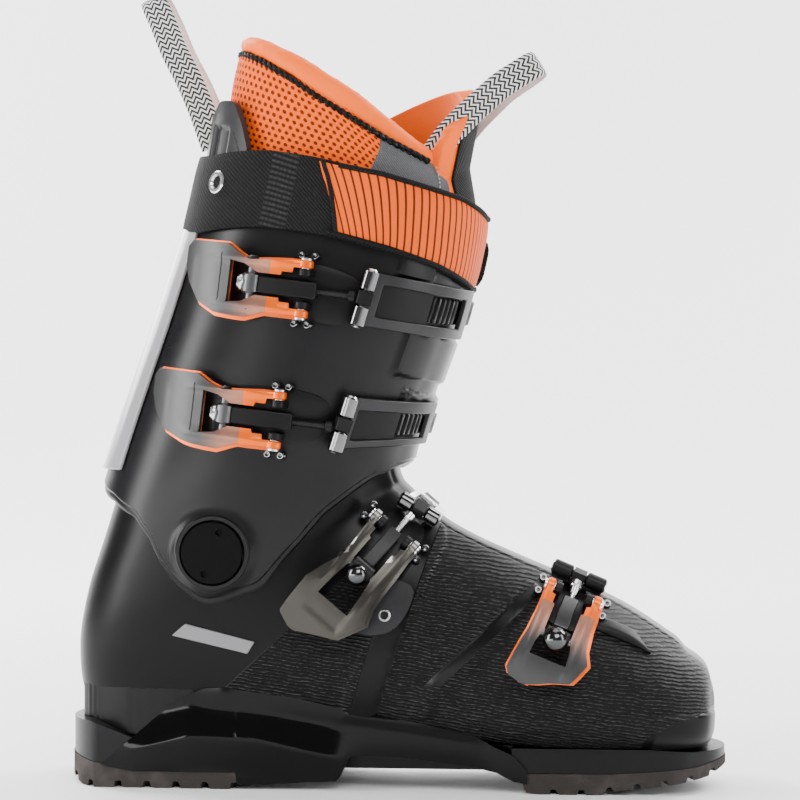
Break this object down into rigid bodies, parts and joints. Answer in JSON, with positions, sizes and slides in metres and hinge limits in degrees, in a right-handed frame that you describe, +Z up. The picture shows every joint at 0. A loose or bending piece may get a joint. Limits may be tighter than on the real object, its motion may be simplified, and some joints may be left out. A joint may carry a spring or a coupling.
{
  "type": "alpine ski boot",
  "caption": "Hard-shell alpine ski boot, right foot: hinged cuff, padded liner, power strap and over-centre buckles on the lateral side.",
  "frame": {"origin": "on the ground, in the centre plane of the boot, under the middle of the sole", "axes": "+X towards the toe, +Y towards the medial side, +Z up the leg"},
  "size_m": [0.3058, 0.1373, 0.3675],
  "materials": {
    "shell": "satin moulded plastic, fine ribbed texture on the forefoot",
    "cladding": "glossy black",
    "sole_rubber": "matt, worn at the edges",
    "bright_metal": "brushed",
    "board": "matt",
    "liner_fabric": "knitted lining over foam",
    "pivot_plastic": "satin",
    "cuff_plastic": "satin",
    "spine_plastic": "light grey gloss",
    "spoiler_plastic": "satin dark grey",
    "collar_foam": "smooth skin over foam, orange",
    "strap_webbing": "twill webbing with an orange printed panel",
    "loop_webbing": "black and white chevron weave",
    "base_metal": "satin black",
    "lever_metal": "anodised dark grey with orange edges",
    "gunmetal": "gunmetal",
    "catch_metal": "anodised dark grey",
    "silver_metal": "bright anodised",
    "ladder_plastic": "satin black"
  },
  "bodies": {
    "lower": {"lower_shell": "shell", "chassis_lateral": "cladding", "chassis_medial": "cladding", "toe_sole": "sole_rubber", "heel_sole": "sole_rubber", "toe_sole_screws": "bright_metal", "heel_sole_screws": "bright_metal", "bootboard": "board", "liner_foot": "liner_fabric", "pivot_lateral": "pivot_plastic", "pivot_medial": "pivot_plastic", "base_3": "base_metal", "pins_3": "bright_metal", "ladder_3": "ladder_plastic", "base_4": "base_metal", "pins_4": "bright_metal", "ladder_4": "ladder_plastic"},
    "cuff": {"cuff": "cuff_plastic", "spine_insert": "spine_plastic", "spoiler": "spoiler_plastic", "liner_leg": "liner_fabric", "liner_collar": "collar_foam", "liner_tongue": "liner_fabric", "power_strap": "strap_webbing", "strap_end": "strap_webbing", "strap_rivet": "bright_metal", "rear_loop": "loop_webbing", "tongue_loop": "loop_webbing", "base_1": "base_metal", "pins_1": "bright_metal", "ladder_1": "ladder_plastic", "base_2": "base_metal", "pins_2": "bright_metal", "ladder_2": "ladder_plastic"},
    "lever_1": {"lever_1": "lever_metal"},
    "catch_1": {"rod_1": "bright_metal", "catch_1": "catch_metal"},
    "lever_2": {"lever_2": "lever_metal"},
    "catch_2": {"rod_2": "bright_metal", "catch_2": "catch_metal"},
    "lever_3": {"lever_3": "gunmetal"},
    "catch_3": {"rod_3": "bright_metal", "catch_3": "silver_metal"},
    "lever_4": {"lever_4": "lever_metal"},
    "catch_4": {"rod_4": "bright_metal", "catch_4": "catch_metal"}
  },
  "joints": [
    {"name": "cuff_flex", "type": "hinge", "parent": "lower", "child": "cuff", "pos_m": [-0.0774, 0, 0.1093], "axis": [0, 1, 0], "range_deg": [0, 5], "stiffness_Nm_per_rad": 150},
    {"name": "lever_1", "type": "hinge", "parent": "cuff", "child": "lever_1", "pos_m": [-0.0345, -0.067, 0.227], "axis": [0.1219, 0, 0.9925], "range_deg": [0, 130]},
    {"name": "catch_1", "type": "hinge", "parent": "lever_1", "child": "catch_1", "pos_m": [-0.05796, -0.06636, 0.22988], "axis": [0.1219, 0, 0.9925], "range_deg": [-156, 0]},
    {"name": "lever_2", "type": "hinge", "parent": "cuff", "child": "lever_2", "pos_m": [-0.047, -0.0645, 0.169], "axis": [0.1219, 0, 0.9925], "range_deg": [0, 130]},
    {"name": "catch_2", "type": "hinge", "parent": "lever_2", "child": "catch_2", "pos_m": [-0.07047, -0.06427, 0.17188], "axis": [0.1219, 0, 0.9925], "range_deg": [-156, 0]},
    {"name": "lever_3", "type": "hinge", "parent": "lower", "child": "lever_3", "pos_m": [0.0031, -0.038, 0.1182], "axis": [-0.766, 0, 0.6428], "range_deg": [0, 110]},
    {"name": "catch_3", "type": "hinge", "parent": "lever_3", "child": "catch_3", "pos_m": [-0.01074, -0.04779, 0.10171], "axis": [-0.766, 0, 0.6428], "range_deg": [-132, 0]},
    {"name": "lever_4", "type": "hinge", "parent": "lower", "child": "lever_4", "pos_m": [0.0842, -0.0426, 0.0909], "axis": [-0.9272, 0, 0.3746], "range_deg": [0, 130]},
    {"name": "catch_4", "type": "hinge", "parent": "lever_4", "child": "catch_4", "pos_m": [0.07698, -0.05631, 0.07304], "axis": [-0.9272, 0, 0.3746], "range_deg": [-156, 0]}
  ],
  "couplings": [
    {"joint": "catch_1", "follows": "lever_1", "ratio": -1.2},
    {"joint": "catch_2", "follows": "lever_2", "ratio": -1.2},
    {"joint": "catch_3", "follows": "lever_3", "ratio": -1.2},
    {"joint": "catch_4", "follows": "lever_4", "ratio": -1.2}
  ]
}
